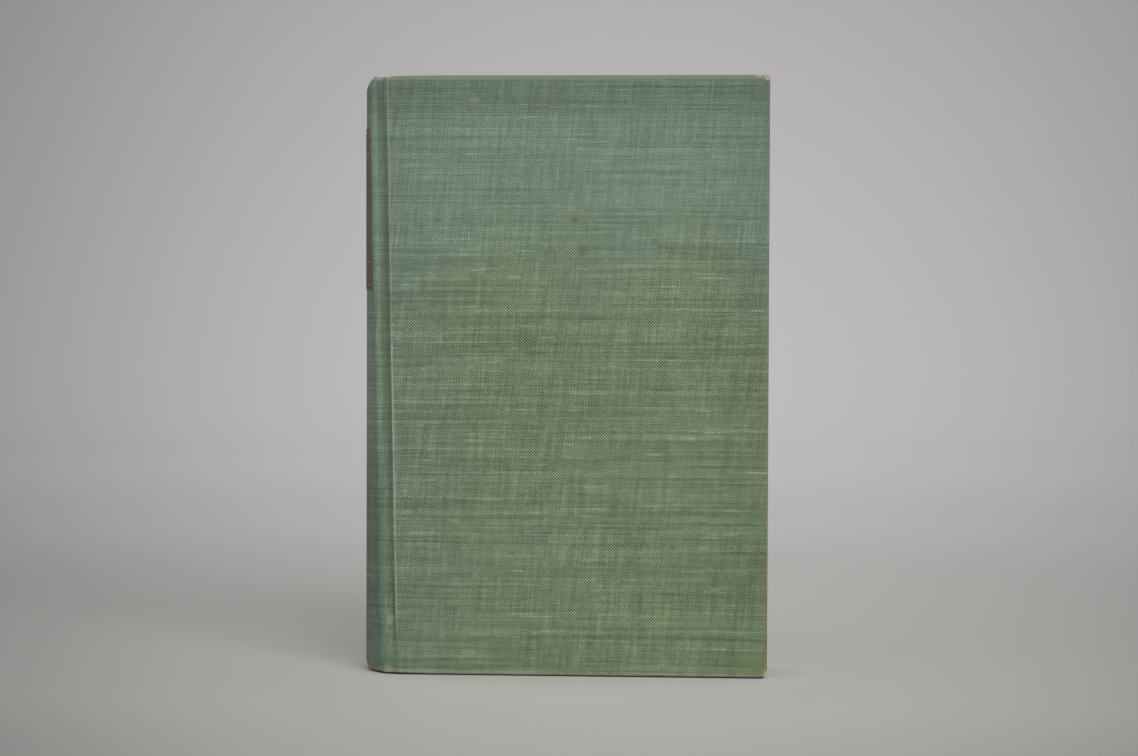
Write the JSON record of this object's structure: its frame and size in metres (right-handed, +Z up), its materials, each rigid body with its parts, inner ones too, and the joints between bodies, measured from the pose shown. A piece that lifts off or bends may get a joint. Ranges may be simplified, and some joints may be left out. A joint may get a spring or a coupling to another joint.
{
  "type": "hardback book",
  "caption": "Cloth-covered hardback book with a rounded spine, pressed joints, a spine label and hinged covers over a sewn page block.",
  "frame": {"origin": "middle of the tail, on the surface that the book stands on", "axes": "+Z up from tail to head; +X from the spine to the fore-edge; the front cover faces -Y and the back cover +Y"},
  "size_m": [0.134, 0.032, 0.197],
  "materials": {
    "book_cloth": "plain-weave book cloth, faded grey-green, rubbed at edges",
    "spine_cloth": "plain-weave book cloth, darker grey-green, rubbed",
    "board": "grey-brown millboard",
    "endpaper": "aged cream paper, matte",
    "pages": "aged cream page edges, toned",
    "gauze": "starched open gauze",
    "thread": "linen thread",
    "kraft": "brown kraft paper",
    "band_cloth": "rolled cotton band",
    "inlay_card": "thin card",
    "label": "dark brown thin leather with plain gilt rules"
  },
  "bodies": {
    "page_block": {"text_block": "pages", "sewing_thread": "thread", "mull_spine": "gauze", "spine_lining": "kraft", "head_band": "band_cloth", "tail_band": "band_cloth", "front_free_endpaper": "endpaper", "back_free_endpaper": "endpaper", "spine_inlay": "inlay_card", "spine_cloth": "spine_cloth", "spine_label": "label"},
    "front_cover": {"front_board": "board", "front_cloth": "book_cloth", "front_pastedown": "endpaper", "front_mull_flap": "gauze"},
    "back_cover": {"back_board": "board", "back_cloth": "book_cloth", "back_pastedown": "endpaper", "back_mull_flap": "gauze"}
  },
  "joints": [
    {"name": "front_cover_hinge", "type": "hinge", "parent": "page_block", "child": "front_cover", "pos_m": [-0.0587, -0.0156, 0.0985], "axis": [0, 0, -1], "range_deg": [0, 180]},
    {"name": "back_cover_hinge", "type": "hinge", "parent": "page_block", "child": "back_cover", "pos_m": [-0.0587, 0.0156, 0.0985], "axis": [0, 0, 1], "range_deg": [0, 180]}
  ]
}
